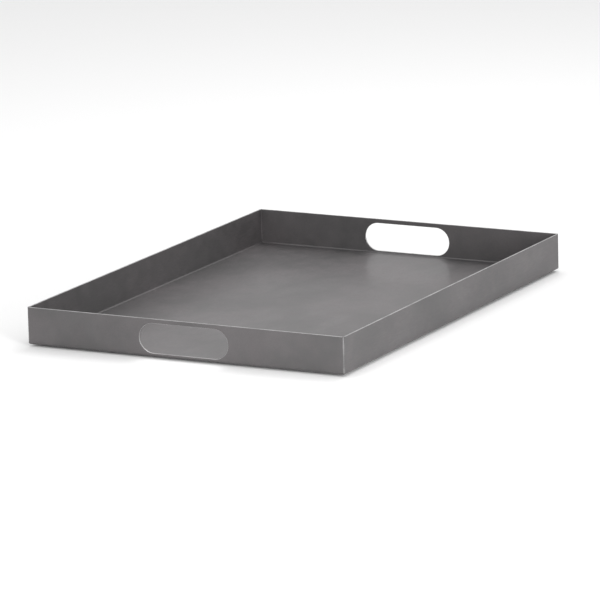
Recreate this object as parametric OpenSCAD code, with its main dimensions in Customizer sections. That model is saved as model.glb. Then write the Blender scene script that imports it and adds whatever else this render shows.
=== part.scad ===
// Rectangular serving tray folded from one sheet of steel.
//
// The blank has a flat floor and four flanges, which are folded up on a press brake. A weld seam
// closes each vertical corner and is dressed to a small radius. Each end wall has a stadium-shaped
// hand hole. Four self-adhesive rubber bumpers keep the floor off the table.
//
// Millimetres, +Z up. X runs along the tray, from the near end (-X) to the far end (+X).
// +Y is the left side, seen from the near end. The origin is under the centre, on the table.

/* [Tray] */
// Outside length, across the two end walls
tray_l = 500; // [400:5:700]
// Outside width, across the two side walls
tray_w = 350; // [250:5:450]
// Outside height of the folded sheet, from its underside to the rim
wall_h = 38; // [36:1:80]
// Thickness of the steel sheet
sheet_t = 1.5; // [1:0.1:1.6]

/* [Folds and corners] */
// Outside radius of the four folds
bend_r = 3; // [2:0.2:4]
// Outside radius of the dressed weld seam in each vertical corner
corner_r = 1.8; // [1.8:0.2:4]
// Radius that the rim's cut edges are deburred to
edge_r = 0.3; // [0.1:0.05:0.4]

/* [Hand holes] */
// Length of each hand hole, end to end
hole_l = 98; // [80:1:140]
// Height of each hand hole
hole_h = 30; // [24:1:30]
// Height of the sheet's underside to the middle of the hole
hole_mid = 18.5; // [18:0.1:20]

/* [Feet] */
// Diameter of each rubber bumper
foot_d = 12; // [8:1:20]
// Height of the rubber, without its adhesive
foot_h = 1.8; // [1.2:0.1:4]
// Thickness of the adhesive disc
adhesive_t = 0.2; // [0.1:0.05:0.5]
// Distance from the tray's outside faces to the middle of a bumper
foot_inset = 28; // [18:1:60]

/* [Hidden] */

// Signs of [x, y] at each corner
NEAR_RIGHT = [-1, -1];
NEAR_LEFT = [-1, 1];
FAR_RIGHT = [1, -1];
FAR_LEFT = [1, 1];

$fn = 96;
eps = 0.01;
pan_z = foot_h + adhesive_t;     // underside of the sheet above the table
rim_z = wall_h - edge_r;         // where the rounded rim begins, above the underside
foot_edge_r = 0.6;               // rounding of a bumper's lower edge
adhesive_margin = 0.5;           // the adhesive disc is this much smaller all round than its bumper

steel = [0.42, 0.42, 0.42];
weld_steel = [0.60, 0.60, 0.60];
rubber = [0.12, 0.12, 0.12];
adhesive = [0.80, 0.78, 0.70];

// --- Building blocks ---

// Moves its children to the same place at one of the four corners
module at_corner(signs, x, y) {
    translate([signs[0] * x, signs[1] * y, 0]) children();
}

// Section of a block with its two lower edges rounded
module block_section(width, height, r) {
    translate([-width / 2, r]) square([width, height - r]);
    translate([-width / 2 + r, 0]) square([width - 2 * r, height]);
    for (side = [-1, 1]) translate([side * (width / 2 - r), r]) circle(r);
}

// Outline of a rectangle with round corners
module round_rectangle(l, w, r) {
    square([l - 2 * r, w], center = true);
    square([l, w - 2 * r], center = true);
    for (x = [-1, 1], y = [-1, 1]) translate([x * (l / 2 - r), y * (w / 2 - r)]) circle(r);
}

// Solid block with round vertical corners and folds of radius r along its lower edges
module folded_block(l, w, h, r, r_corner) {
    intersection() {
        rotate([90, 0, 0]) linear_extrude(w, center = true) block_section(l, h, r);
        rotate([90, 0, 90]) linear_extrude(l, center = true) block_section(w, h, r);
        linear_extrude(h) round_rectangle(l, w, r_corner);
    }
}

// Floor, folds and walls up to where the rim's rounding begins
module folded_shell() {
    inner_l = tray_l - 2 * sheet_t;
    inner_w = tray_w - 2 * sheet_t;
    difference() {
        folded_block(tray_l, tray_w, rim_z, bend_r, corner_r);
        translate([0, 0, sheet_t])
            folded_block(inner_l, inner_w, wall_h, bend_r - sheet_t, corner_r - sheet_t);
    }
}

// Section of the rim: the sheet's cut edge, with both of its corners deburred. x runs inwards.
module rim_section() {
    translate([edge_r, 0]) square([sheet_t - 2 * edge_r, edge_r]);
    intersection() {
        square([sheet_t, edge_r]);
        for (x = [edge_r, sheet_t - edge_r]) translate([x, 0]) circle(edge_r);
    }
}

// Straight rim along one wall: length of the wall, and distance of its outside face from the centre
module rim_strip(length, out) {
    translate([-out, length / 2, rim_z]) rotate([90, 0, 0]) linear_extrude(length) rim_section();
}

// Square column that holds one corner's weld seam, from below the sheet to above the rim
module seam_column(signs) {
    size = 2 * corner_r;
    at_corner(signs, tray_l / 2, tray_w / 2)
        translate([-corner_r, -corner_r, -1]) cube([size, size, wall_h + 2]);
}

// Stadium-shaped cut through both end walls, lying along Y
module hand_hole_cut() {
    r = hole_h / 2;
    straight = hole_l - hole_h;
    for (y = [-1, 1]) translate([0, y * straight / 2, hole_mid])
        rotate([0, 90, 0]) cylinder(h = tray_l + 2, r = r, center = true);
    translate([0, 0, hole_mid]) cube([tray_l + 2, straight, hole_h], center = true);
}

// --- Pieces ---

// The folded blank: floor, four walls and both hand holes, open at its corners for the weld seams
module tray_pan() {
    color(steel) translate([0, 0, pan_z]) difference() {
        union() {
            folded_shell();
            for (turn = [0, 180]) rotate(turn) {
                rim_strip(tray_w - 2 * corner_r, tray_l / 2);
                rotate(90) rim_strip(tray_l - 2 * corner_r, tray_w / 2);
            }
        }
        for (signs = [NEAR_RIGHT, NEAR_LEFT, FAR_RIGHT, FAR_LEFT]) seam_column(signs);
        hand_hole_cut();
    }
}

// Weld seam that closes one vertical corner, dressed flush with both walls and the rim
module corner_weld(signs) {
    // Turn that brings the quarter-round rim from the +X +Y corner to this one
    turn = signs[0] > 0 ? (signs[1] > 0 ? 0 : 270) : (signs[1] > 0 ? 90 : 180);
    color(weld_steel) translate([0, 0, pan_z]) {
        intersection() {
            folded_shell();
            seam_column(signs);
        }
        at_corner(signs, tray_l / 2 - corner_r, tray_w / 2 - corner_r)
            translate([0, 0, rim_z]) rotate(turn)
                rotate_extrude(angle = 90) translate([corner_r - sheet_t, 0]) rim_section();
    }
}

// Rubber bumper: a low disc with a rounded lower edge
module foot(signs) {
    r = foot_d / 2;
    color(rubber) at_corner(signs, tray_l / 2 - foot_inset, tray_w / 2 - foot_inset) rotate_extrude() {
        square([r - foot_edge_r, foot_h]);
        translate([0, foot_edge_r]) square([r, foot_h - foot_edge_r]);
        translate([r - foot_edge_r, foot_edge_r]) intersection() {
            circle(foot_edge_r);
            translate([-eps, -foot_edge_r]) square(foot_edge_r + eps);
        }
    }
}

// Adhesive disc between a bumper and the sheet
module foot_adhesive(signs) {
    color(adhesive) at_corner(signs, tray_l / 2 - foot_inset, tray_w / 2 - foot_inset)
        translate([0, 0, foot_h]) cylinder(h = adhesive_t, r = foot_d / 2 - adhesive_margin);
}

tray_pan();
corner_weld(NEAR_RIGHT);  // corner_weld_near_right
corner_weld(NEAR_LEFT);  // corner_weld_near_left
corner_weld(FAR_RIGHT);  // corner_weld_far_right
corner_weld(FAR_LEFT);  // corner_weld_far_left
foot(NEAR_RIGHT);  // foot_near_right
foot(NEAR_LEFT);  // foot_near_left
foot(FAR_RIGHT);  // foot_far_right
foot(FAR_LEFT);  // foot_far_left
foot_adhesive(NEAR_RIGHT);  // foot_adhesive_near_right
foot_adhesive(NEAR_LEFT);  // foot_adhesive_near_left
foot_adhesive(FAR_RIGHT);  // foot_adhesive_far_right
foot_adhesive(FAR_LEFT);  // foot_adhesive_far_left
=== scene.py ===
"""Looks of a folded steel serving tray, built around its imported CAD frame. Metres, +Z up.

+X runs from the near hand hole to the far one, and +Y to the left seen from the near end.
"""

import math

import bmesh
import bpy
from mathutils import Matrix, Vector


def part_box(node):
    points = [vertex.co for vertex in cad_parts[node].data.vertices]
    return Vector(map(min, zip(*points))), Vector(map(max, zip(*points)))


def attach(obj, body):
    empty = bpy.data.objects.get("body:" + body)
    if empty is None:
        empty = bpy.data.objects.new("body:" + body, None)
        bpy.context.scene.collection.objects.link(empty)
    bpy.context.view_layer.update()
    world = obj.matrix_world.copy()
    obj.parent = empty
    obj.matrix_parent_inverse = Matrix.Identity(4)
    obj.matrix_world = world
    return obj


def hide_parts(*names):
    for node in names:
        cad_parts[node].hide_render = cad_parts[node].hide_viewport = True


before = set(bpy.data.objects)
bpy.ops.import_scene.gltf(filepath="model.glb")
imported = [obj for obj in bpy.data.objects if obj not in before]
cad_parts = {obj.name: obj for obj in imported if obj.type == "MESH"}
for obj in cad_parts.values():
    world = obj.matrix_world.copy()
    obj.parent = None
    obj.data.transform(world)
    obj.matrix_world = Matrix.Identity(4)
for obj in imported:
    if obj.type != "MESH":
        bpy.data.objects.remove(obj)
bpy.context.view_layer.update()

# --- Sizes: the box sizes come from the frame, and the sheet's own sizes repeat the design's ---

MM = 0.001
pan_low, pan_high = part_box("tray_pan")
weld_low, weld_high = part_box("corner_weld_far_left")

HALF_L = pan_high.x                        # centre to the end walls' outside faces
HALF_W = pan_high.y                        # centre to the side walls' outside faces
UNDERSIDE = pan_low.z                      # underside of the sheet, above the table
RIM = pan_high.z - pan_low.z               # underside of the sheet to the top of the rim
CORNER_R = weld_high.x - weld_low.x        # outside radius of a vertical corner
SHEET = 1.5 * MM                           # thickness of the sheet
FOLD_R = 3 * MM                            # outside radius of a fold
INNER_FOLD_R = FOLD_R - SHEET
EDGE_R = 0.3 * MM                          # radius that the cut edges are deburred to
HOLE_L = 98 * MM                           # hand hole, end to end
HOLE_R = 15 * MM                           # radius of its round ends
HOLE_MID = 18.5 * MM                       # underside of the sheet to the middle of a hole
HOLE_STRAIGHT = HOLE_L / 2 - HOLE_R        # middle of a hole to the centre of a round end
HOLE_PANEL = HOLE_L / 2 + 7 * MM           # half length of the mesh panel around a hole
FLOOR_SAG = 0.35 * MM                      # how far the middle of the floor hangs down
END_BOW = 0.20 * MM                        # how far the middle of an end wall's rim leans in
SIDE_BOW = 0.30 * MM                       # how far the middle of a side wall's rim leans in
TOUCHING = 0.001 * MM                      # points closer than this are one point
SHARP = math.radians(50)                   # faces that meet at a larger angle have a sharp edge

SHEET_FACE, CUT_EDGE = 0, 1                # material slots of the folded sheet
GROUND_FACE, OILED_FACE = 0, 1             # material slots of a corner weld


def spread(start, stop, steps):
    """steps + 1 evenly spaced numbers from start to stop."""
    return [start + (stop - start) * k / steps for k in range(steps + 1)]


# --- Meshes ---

def join_rows(bm, rows, slot=SHEET_FACE, closed=False):
    """Joins each row of points to the next one with four-sided faces. Closed rows are loops."""
    made = [[bm.verts.new(point) for point in row] for row in rows]
    for row, above in zip(made, made[1:]):
        count = len(row) if closed else len(row) - 1
        for k in range(count):
            after = (k + 1) % len(row)
            bm.faces.new((row[k], row[after], above[after], above[k])).material_index = slot


def finish_mesh(bm, name, materials):
    """Welds coincident points, turns all faces outwards and makes a smooth-shaded object."""
    bmesh.ops.remove_doubles(bm, verts=bm.verts, dist=TOUCHING)
    bmesh.ops.dissolve_degenerate(bm, edges=bm.edges, dist=TOUCHING)
    bmesh.ops.recalc_face_normals(bm, faces=bm.faces)
    for face in bm.faces:
        face.smooth = True
    for edge in bm.edges:
        edge.smooth = edge.calc_face_angle(0) < SHARP
    mesh = bpy.data.meshes.new(name)
    bm.to_mesh(mesh)
    bm.free()
    for material in materials:
        mesh.materials.append(material)
    piece = bpy.data.objects.new(name, mesh)
    bpy.context.scene.collection.objects.link(piece)
    weighted = piece.modifiers.new("flat faces stay flat", "WEIGHTED_NORMAL")
    weighted.keep_sharp = True
    return piece


def fold_points(radius, start, stop, steps):
    """Points (distance in from the outside face, height) along a fold, between two angles."""
    return [
        (FOLD_R - radius * math.sin(a), FOLD_R - radius * math.cos(a))
        for a in spread(start, stop, steps)
    ]


def seam_angle(radius):
    """Angle at which a fold of that radius reaches the column of a corner weld."""
    return math.asin((FOLD_R - CORNER_R) / radius)


WALL_HEIGHTS = spread(FOLD_R, RIM - EDGE_R, 12)
RIM_ANGLES = spread(0, math.pi / 2, 4)

# Pairs of points on the inside and outside faces, as (distance in from the outside face, height):
# from the floor to where the corner welds begin, up the rest of the fold, and round the rim
FOLD_START = list(zip(
    fold_points(INNER_FOLD_R, 0, seam_angle(INNER_FOLD_R), 3),
    fold_points(FOLD_R, 0, seam_angle(FOLD_R), 3),
))
FOLD_REST = list(zip(
    fold_points(INNER_FOLD_R, seam_angle(INNER_FOLD_R), math.pi / 2, 5),
    fold_points(FOLD_R, seam_angle(FOLD_R), math.pi / 2, 5),
))
WALL = [((SHEET, z), (0, z)) for z in WALL_HEIGHTS]
RIM_EDGE = [
    (
        (SHEET - EDGE_R * (1 - math.cos(a)), RIM - EDGE_R * (1 - math.sin(a))),
        (EDGE_R * (1 - math.cos(a)), RIM - EDGE_R * (1 - math.sin(a))),
    )
    for a in RIM_ANGLES
]
SECTION = FOLD_START[:-1] + FOLD_REST[:-1] + WALL[:-1] + RIM_EDGE
WELDED_SECTION = FOLD_REST[:-1] + WALL[:-1] + RIM_EDGE

HOLE_COLUMNS = (
    spread(-HOLE_PANEL, -HOLE_STRAIGHT, 6)[:-1]
    + spread(-HOLE_STRAIGHT, HOLE_STRAIGHT, 14)
    + spread(HOLE_STRAIGHT, HOLE_PANEL, 6)[1:]
)
FLOOR_L = HALF_L - FOLD_R
FLOOR_W = HALF_W - FOLD_R
LONG_STATIONS = spread(-FLOOR_L, FLOOR_L, 50)
SHORT_STATIONS = (
    spread(-FLOOR_W, -HOLE_PANEL, 12)[:-1] + HOLE_COLUMNS + spread(HOLE_PANEL, FLOOR_W, 12)[1:]
)


def bowed(point):
    """Where a point of the flat-sided design ends up: folded sheet bows a little between corners."""
    x, y, z = point
    along_x = math.cos(math.pi / 2 * x / HALF_L)
    along_y = math.cos(math.pi / 2 * y / HALF_W)
    up = max(0, z / RIM) ** 2
    sag = FLOOR_SAG * along_x * along_y
    end_bow = END_BOW * up * along_y * math.copysign(1, x) * (abs(x) > FLOOR_L)
    side_bow = SIDE_BOW * up * along_x * math.copysign(1, y) * (abs(y) > FLOOR_W)
    return Vector((x - end_bow, y - side_bow, z - sag + UNDERSIDE))


def end_wall_place(side):
    """Placement on an end wall of a point given by its place along it, distance in and height."""
    return lambda along, inward, z: bowed((side * (HALF_L - inward), along, z))


def side_wall_place(side):
    """Placement on a side wall of a point given by its place along it, distance in and height."""
    return lambda along, inward, z: bowed((along, side * (HALF_W - inward), z))


def wall_row(place, stations, half, inward, z):
    """Row of points along a wall. Its ends meet the next wall's mitre or the corner weld."""
    end = half - max(inward, CORNER_R)
    return [place(y, inward, z) for y in [-end] + stations[1:-1] + [end]]


def add_wall(bm, place, stations, half, rows_between):
    """Both faces of one wall, its rim and its two end faces, joined row by row."""
    for face in (0, 1):
        for low, high in zip(SECTION, SECTION[1:]):
            slot = CUT_EDGE if low[face][1] >= RIM - EDGE_R else SHEET_FACE
            pair = [wall_row(place, stations, half, *point[face]) for point in (low, high)]
            rows_between(bm, pair, low[face][1], slot)
    top = [wall_row(place, stations, half, *SECTION[-1][face]) for face in (0, 1)]
    join_rows(bm, top, CUT_EDGE)
    for end in (-1, 1):
        rows = [
            [place(end * (half - CORNER_R), *point) for point in pair] for pair in WELDED_SECTION
        ]
        join_rows(bm, rows)


def plain_rows(bm, pair, z, slot):
    """Faces between two rows of a wall with no hole."""
    join_rows(bm, pair, slot)


def rows_beside_hole(bm, pair, z, slot):
    """Faces between two rows of an end wall, leaving the hand hole's panel open."""
    if FOLD_R - TOUCHING <= z < WALL_HEIGHTS[-1] - TOUCHING:
        first = SHORT_STATIONS.index(HOLE_COLUMNS[0])
        last = SHORT_STATIONS.index(HOLE_COLUMNS[-1])
        join_rows(bm, [row[:first + 1] for row in pair], slot)
        join_rows(bm, [row[last:] for row in pair], slot)
    else:
        join_rows(bm, pair, slot)


def panel_outline():
    """Points (along, height) round the edge of a hand hole's panel, starting at its lower left."""
    low, high = WALL_HEIGHTS[0], WALL_HEIGHTS[-1]
    return (
        [(y, low) for y in HOLE_COLUMNS]
        + [(HOLE_PANEL, z) for z in WALL_HEIGHTS[1:]]
        + [(y, high) for y in reversed(HOLE_COLUMNS[:-1])]
        + [(-HOLE_PANEL, z) for z in reversed(WALL_HEIGHTS[1:-1])]
    )


def onto_hole(point, radius):
    """The point of a stadium of that radius that faces a point on the panel's outline."""
    middle = max(-HOLE_STRAIGHT, min(HOLE_STRAIGHT, point[0]))
    away = Vector((point[0] - middle, point[1] - HOLE_MID)).normalized() * radius
    return (middle + away.x, HOLE_MID + away.y)


def hole_loop(place, outline, inward, radius):
    """Loop of points round a hand hole, at a distance in from the outside face."""
    around = [onto_hole(point, radius) for point in outline]
    return [place(along, inward, height) for along, height in around]


def panel_loop(place, outline, inward, t):
    """Loop of points from the panel's outline (t = 0) to the hand hole's edge (t = 1)."""
    around = [onto_hole(point, HOLE_R + EDGE_R) for point in outline]
    return [
        place(p[0] + (q[0] - p[0]) * t, inward, p[1] + (q[1] - p[1]) * t)
        for p, q in zip(outline, around)
    ]


def add_hole_panel(bm, place):
    """Panel around a hand hole on both faces of an end wall, and the hole's deburred edge."""
    outline = panel_outline()
    lip = [(EDGE_R * (1 - math.sin(a)), HOLE_R + EDGE_R * (1 - math.cos(a))) for a in RIM_ANGLES]
    edge = lip[::-1] + [(SHEET - inward, radius) for inward, radius in lip]
    loops = [hole_loop(place, outline, inward, radius) for inward, radius in edge]
    join_rows(bm, loops, CUT_EDGE, closed=True)
    for inward in (0, SHEET):
        rings = [panel_loop(place, outline, inward, t) for t in (0, 0.5, 1)]
        join_rows(bm, rings, SHEET_FACE, closed=True)


def folded_sheet(materials):
    """The folded blank: floor, folds, four walls and both hand holes, as one closed mesh."""
    bm = bmesh.new()
    for height in (0, SHEET):
        join_rows(bm, [[bowed((x, y, height)) for x in LONG_STATIONS] for y in SHORT_STATIONS])
    for side in (-1, 1):
        add_wall(bm, end_wall_place(side), SHORT_STATIONS, HALF_W, rows_beside_hole)
        add_hole_panel(bm, end_wall_place(side))
        add_wall(bm, side_wall_place(side), LONG_STATIONS, HALF_L, plain_rows)
    return finish_mesh(bm, "folded_sheet", materials)


def fold_height(inward, radius):
    """Height of a fold's surface, at a distance in from the outside face."""
    return FOLD_R - math.sqrt(max(radius ** 2 - (FOLD_R - inward) ** 2, 0))


def corner_weld(name, x_side, y_side, materials):
    """Seam in one vertical corner, dressed flush with the walls, the folds and the rim."""
    bm = bmesh.new()

    def column(face, turn):
        """Points up the inside (0) or outside (1) of the seam, at one angle round the corner."""
        fold_r = (INNER_FOLD_R, FOLD_R)[face]
        reach = max(math.cos(turn), math.sin(turn))
        points = []
        for pair in FOLD_REST:
            radius = CORNER_R - pair[face][0]
            points.append((radius, fold_height(CORNER_R - radius * reach, fold_r)))
        points += [(CORNER_R - pair[face][0], pair[face][1]) for pair in WALL[:-1] + RIM_EDGE]
        return [
            bowed((
                x_side * (HALF_L - CORNER_R + radius * math.cos(turn)),
                y_side * (HALF_W - CORNER_R + radius * math.sin(turn)),
                z,
            ))
            for radius, z in points
        ]

    turns = spread(0, math.pi / 2, 10)
    inside, outside = ([column(face, turn) for turn in turns] for face in (0, 1))
    join_rows(bm, inside, OILED_FACE)
    join_rows(bm, outside, GROUND_FACE)
    join_rows(bm, [[row[-1] for row in inside], [row[-1] for row in outside]], GROUND_FACE)
    for end in (0, -1):
        join_rows(bm, [inside[end], outside[end]], GROUND_FACE)
    return finish_mesh(bm, name, materials)


def lathe(name, node, profile, materials):
    """Solid of revolution in the middle of a CAD node's box, from (radius, height) points."""
    low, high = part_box(node)
    middle = (low + high) / 2
    rings = [
        [
            (middle.x + r * math.cos(turn), middle.y + r * math.sin(turn), low.z + z)
            for turn in spread(0, 2 * math.pi, 72)[:-1]
        ]
        for r, z in profile
    ]
    bm = bmesh.new()
    join_rows(bm, rings, closed=True)
    return finish_mesh(bm, name, materials)


def rounded_edge(radius, height, edge, upper):
    """Quarter-round from the side of a disc to its upper or lower face, in upward order."""
    arc = [
        (radius - edge * (1 - math.cos(a)), edge * (1 - math.sin(a)))
        for a in spread(0, math.pi / 2, 8)
    ]
    if upper:
        return [(r, height - z) for r, z in arc]
    return arc[::-1]


def bumper(name, node, materials):
    """Moulded rubber foot: rounded lower edge, and a shallow dimple in the face that stands down."""
    low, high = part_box(node)
    radius, height = (high.x - low.x) / 2, high.z - low.z
    lower_edge, upper_edge = 0.6 * MM, 0.15 * MM
    dimple_r, dimple_depth = 2.2 * MM, 0.18 * MM
    dimple = [
        (dimple_r * t, dimple_depth * (1 + math.cos(math.pi * t)) / 2) for t in spread(0, 1, 8)
    ]
    side = rounded_edge(radius, height, lower_edge, False)
    side += rounded_edge(radius, height, upper_edge, True)
    return lathe(name, node, dimple + side + [(0, height)], materials)


def adhesive_disc(name, node, materials):
    """Film between a foot and the sheet. Its edge bulges slightly where it is pressed."""
    low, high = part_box(node)
    radius, height = (high.x - low.x) / 2, high.z - low.z
    bulge = 0.12 * MM
    side = [
        (radius - bulge * (1 - math.cos(a)), height * (1 + math.sin(a)) / 2)
        for a in spread(-math.pi / 2, math.pi / 2, 6)
    ]
    return lathe(name, node, [(0, 0)] + side + [(0, height)], materials)


# --- Materials ---

class Graph:
    """A new node material with a few shorthands. Coordinates are the frame's own, in metres."""

    def __init__(self, name, **settings):
        self.material = bpy.data.materials.new(name)
        self.material.use_nodes = True
        self.nodes = self.material.node_tree.nodes
        self.links = self.material.node_tree.links
        self.shader = self.nodes["Principled BSDF"]
        for socket, value in settings.items():
            self.shader.inputs[socket.replace("_", " ")].default_value = value
        self.position = self.nodes.new("ShaderNodeTexCoord").outputs["Object"]

    def feed(self, value, socket):
        """Sets a socket to a number or colour, or links it to another node's output."""
        if isinstance(value, bpy.types.NodeSocket):
            self.links.new(value, socket)
        else:
            socket.default_value = value

    def noise(self, size, detail=3, stretch=(1, 1, 1), seed=0):
        """Noise whose lumps are about size metres across, drawn out along an axis by stretch."""
        mapping = self.nodes.new("ShaderNodeMapping")
        mapping.inputs["Scale"].default_value = [1 / (size * s) for s in stretch]
        mapping.inputs["Location"].default_value = (seed, seed * 0.7, seed * 0.3)
        self.links.new(self.position, mapping.inputs["Vector"])
        noise = self.nodes.new("ShaderNodeTexNoise")
        noise.inputs["Scale"].default_value = 1
        noise.inputs["Detail"].default_value = detail
        self.links.new(mapping.outputs["Vector"], noise.inputs["Vector"])
        return noise.outputs["Fac"]

    def remap(self, value, low, high, to_low, to_high):
        """Maps low..high to to_low..to_high smoothly, and holds at both ends."""
        node = self.nodes.new("ShaderNodeMapRange")
        node.interpolation_type = "SMOOTHSTEP"
        for socket, number in zip(node.inputs, (value, low, high, to_low, to_high)):
            self.feed(number, socket)
        return node.outputs["Result"]

    def math(self, operation, a, b):
        """One step of arithmetic on two values."""
        node = self.nodes.new("ShaderNodeMath")
        node.operation = operation
        self.feed(a, node.inputs[0])
        self.feed(b, node.inputs[1])
        return node.outputs["Value"]

    def blend(self, factor, a, b):
        """Colour a where factor is 0, b where it is 1."""
        node = self.nodes.new("ShaderNodeMix")
        node.data_type = "RGBA"
        for name, value in (("Factor_Float", factor), ("A_Color", a), ("B_Color", b)):
            socket = next(s for s in node.inputs if s.identifier == name)
            self.feed(value, socket)
        return next(s for s in node.outputs if s.identifier == "Result_Color")

    def bump(self, height, depth, strength=1.0, normal=None):
        """Surface relief of the given depth in metres, on top of another relief."""
        node = self.nodes.new("ShaderNodeBump")
        node.inputs["Distance"].default_value = depth
        node.inputs["Strength"].default_value = strength
        self.feed(height, node.inputs["Height"])
        if normal is not None:
            self.links.new(normal, node.inputs["Normal"])
        return node.outputs["Normal"]

    def wear(self, colour, roughness, normal):
        """Links the finished colour, roughness and relief to the shader, and returns the material."""
        self.feed(colour, self.shader.inputs["Base Color"])
        self.feed(roughness, self.shader.inputs["Roughness"])
        self.links.new(normal, self.shader.inputs["Normal"])
        return self.material


def grey(level, warmth=0.0):
    """Linear colour of that grey level. A little warmth turns it towards a rosy grey."""
    return (level * (1 + warmth), level, level * (1 + 0.3 * warmth), 1)


def burnished_steel():
    """Hot-rolled sheet, burnished and oiled: cloudy patina, rolling grain, smears in the oil."""
    g = Graph("burnished_steel", Metallic=1.0, Coat_Weight=0.3, Coat_Roughness=0.22)
    clouds = g.noise(0.110, 4)
    mottle = g.noise(0.016, 5, seed=3)
    grain = g.noise(0.0007, 2, stretch=(9, 1, 1), seed=5)
    smears = g.noise(0.035, 3, stretch=(2.5, 1, 1), seed=8)
    patina = g.math("ADD", g.math("MULTIPLY", clouds, 0.65), g.math("MULTIPLY", mottle, 0.35))
    colour = g.blend(g.remap(patina, 0.36, 0.64, 0, 1), grey(0.150, 0.03), grey(0.187, 0.07))
    colour = g.blend(g.remap(grain, 0.3, 0.7, 0, 0.35), colour, grey(0.128))
    rough = g.remap(smears, 0.42, 0.70, 0.66, 0.58)
    rough = g.math("ADD", rough, g.remap(mottle, 0.3, 0.7, -0.03, 0.03))
    relief = g.bump(clouds, 0.25 * MM, 0.6)
    relief = g.bump(mottle, 0.02 * MM, 0.5, relief)
    relief = g.bump(grain, 0.006 * MM, 0.5, relief)
    return g.wear(colour, rough, relief)


def cut_edge():
    """Bare, bright laser-cut edge, finely rippled, with duller stretches."""
    g = Graph("cut_edge", Metallic=1.0)
    ripple = g.noise(0.0009, 2, seed=2)
    dull = g.noise(0.012, 3, seed=4)
    colour = g.blend(g.remap(dull, 0.35, 0.65, 0, 1), grey(0.36, 0.01), grey(0.50, 0.015))
    rough = g.remap(ripple, 0.3, 0.7, 0.30, 0.42)
    return g.wear(colour, rough, g.bump(ripple, 0.02 * MM, 0.6))


def ground_weld():
    """Weld metal ground flush: smoother than the sheet, with brush marks round the corner."""
    g = Graph("ground_weld", Metallic=1.0)
    brush = g.noise(0.0005, 2, stretch=(8, 8, 1), seed=1)
    tint = g.noise(0.006, 3, seed=6)
    colour = g.blend(g.remap(tint, 0.35, 0.65, 0, 1), grey(0.15, 0.01), grey(0.21, 0.03))
    colour = g.blend(g.remap(brush, 0.35, 0.65, 0, 0.4), colour, grey(0.115))
    rough = g.remap(brush, 0.3, 0.7, 0.33, 0.45)
    return g.wear(colour, rough, g.bump(brush, 0.02 * MM, 0.6))


def black_rubber():
    """Moulded rubber: fine matte texture, with a little dust and scuffing."""
    g = Graph("black_rubber", Metallic=0.0)
    texture = g.noise(0.0003, 2, seed=1)
    dust = g.noise(0.004, 4, seed=2)
    colour = g.blend(g.remap(dust, 0.45, 0.75, 0, 1), grey(0.018), grey(0.050, 0.02))
    rough = g.remap(dust, 0.3, 0.7, 0.70, 0.85)
    return g.wear(colour, rough, g.bump(texture, 0.03 * MM, 0.7))


def adhesive_film():
    """Cut edge of the acrylic film that holds a bumper on."""
    g = Graph("adhesive_film", Metallic=0.0)
    cells = g.noise(0.0004, 3, seed=1)
    colour = g.blend(g.remap(cells, 0.35, 0.65, 0, 1), grey(0.55, 0.05), grey(0.68, 0.06))
    rough = g.remap(cells, 0.3, 0.7, 0.50, 0.65)
    return g.wear(colour, rough, g.bump(cells, 0.02 * MM, 0.5))


# --- The tray ---

def place_piece(piece, node):
    """Puts a finished piece in the frame, in place of its CAD node."""
    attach(piece, "root")
    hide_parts(node)


sheet_steel, bright_edge, weld_steel = burnished_steel(), cut_edge(), ground_weld()
place_piece(folded_sheet([sheet_steel, bright_edge]), "tray_pan")

rubber, film = black_rubber(), adhesive_film()
for x_name, x_side in (("near", -1), ("far", 1)):
    for y_name, y_side in (("right", -1), ("left", 1)):
        corner = f"{x_name}_{y_name}"
        seam = corner_weld(f"weld_seam_{corner}", x_side, y_side, [weld_steel, sheet_steel])
        place_piece(seam, f"corner_weld_{corner}")
        foot = bumper(f"bumper_{corner}", f"foot_{corner}", [rubber])
        place_piece(foot, f"foot_{corner}")
        disc = adhesive_disc(f"adhesive_{corner}", f"foot_adhesive_{corner}", [film])
        place_piece(disc, f"foot_adhesive_{corner}")


# --- Floor, light and camera ---

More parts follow.
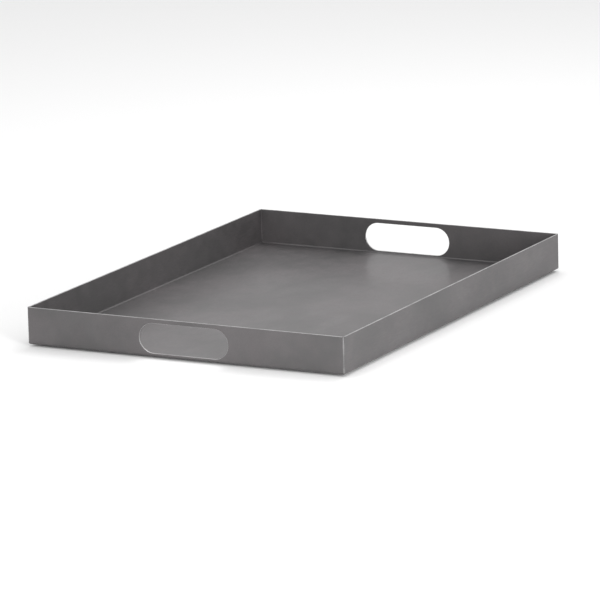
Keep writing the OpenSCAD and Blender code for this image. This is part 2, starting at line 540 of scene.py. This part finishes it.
def studio_floor():
    """Pale seamless floor."""
    bm = bmesh.new()
    bmesh.ops.create_grid(bm, x_segments=1, y_segments=1, size=6)
    mesh = bpy.data.meshes.new("floor")
    bm.to_mesh(mesh)
    bm.free()
    floor = bpy.data.objects.new("floor", mesh)
    bpy.context.scene.collection.objects.link(floor)
    paper = Graph("paper_floor", Metallic=0.0, Roughness=0.9)
    paper.shader.inputs["Base Color"].default_value = grey(0.9)
    mesh.materials.append(paper.material)


def area_light(name, place, aim, size, power):
    """Square softbox at a place, facing a point. The camera never sees the softbox itself."""
    data = bpy.data.lights.new(name, "AREA")
    data.shape = "SQUARE"
    data.size = size
    data.energy = power
    light = bpy.data.objects.new(name, data)
    light.location = place
    light.visible_camera = False
    light.rotation_mode = "QUATERNION"
    light.rotation_quaternion = (Vector(aim) - Vector(place)).to_track_quat("-Z", "Y")
    bpy.context.scene.collection.objects.link(light)


def studio_world():
    """Even white surroundings."""
    world = bpy.data.worlds.new("studio")
    world.use_nodes = True
    background = world.node_tree.nodes["Background"]
    background.inputs["Color"].default_value = (1, 1, 1, 1)
    background.inputs["Strength"].default_value = 0.83
    bpy.context.scene.world = world


def aim_camera():
    """Long lens from the near right, a little above the rim, as in a catalogue picture."""
    azimuth, elevation, roll = (math.radians(a) for a in (-62.64, 12.92, -1.36))
    distance = 5.243
    aim = Vector((0.0013, 0.0013, 0.0077))
    back = Vector((
        math.sin(azimuth) * math.cos(elevation),
        -math.cos(azimuth) * math.cos(elevation),
        math.sin(elevation),
    ))
    data = bpy.data.cameras.new("camera")
    data.lens = 309.6
    data.sensor_width = 36
    data.clip_start = 0.1
    data.clip_end = 100
    camera = bpy.data.objects.new("camera", data)
    camera.location = aim + back * distance
    camera.rotation_mode = "QUATERNION"
    tilt = Matrix.Rotation(roll, 3, "Z").to_quaternion()
    camera.rotation_quaternion = back.to_track_quat("Z", "Y") @ tilt
    bpy.context.scene.collection.objects.link(camera)
    bpy.context.scene.camera = camera


studio_floor()
# Name, place, aim, size in metres and power in watts
area_light("overhead", (0, 0, 2.2), (0, 0, 0), 2.0, 8.4)
area_light("key", (-0.9, -0.9, 0.25), (-0.25, -0.175, 0), 0.3, 9.8)
area_light("back", (0.8, 0, 1.4), (0, 0, 0), 0.7, 5.8)
studio_world()
aim_camera()
bpy.context.scene.view_settings.view_transform = "Standard"
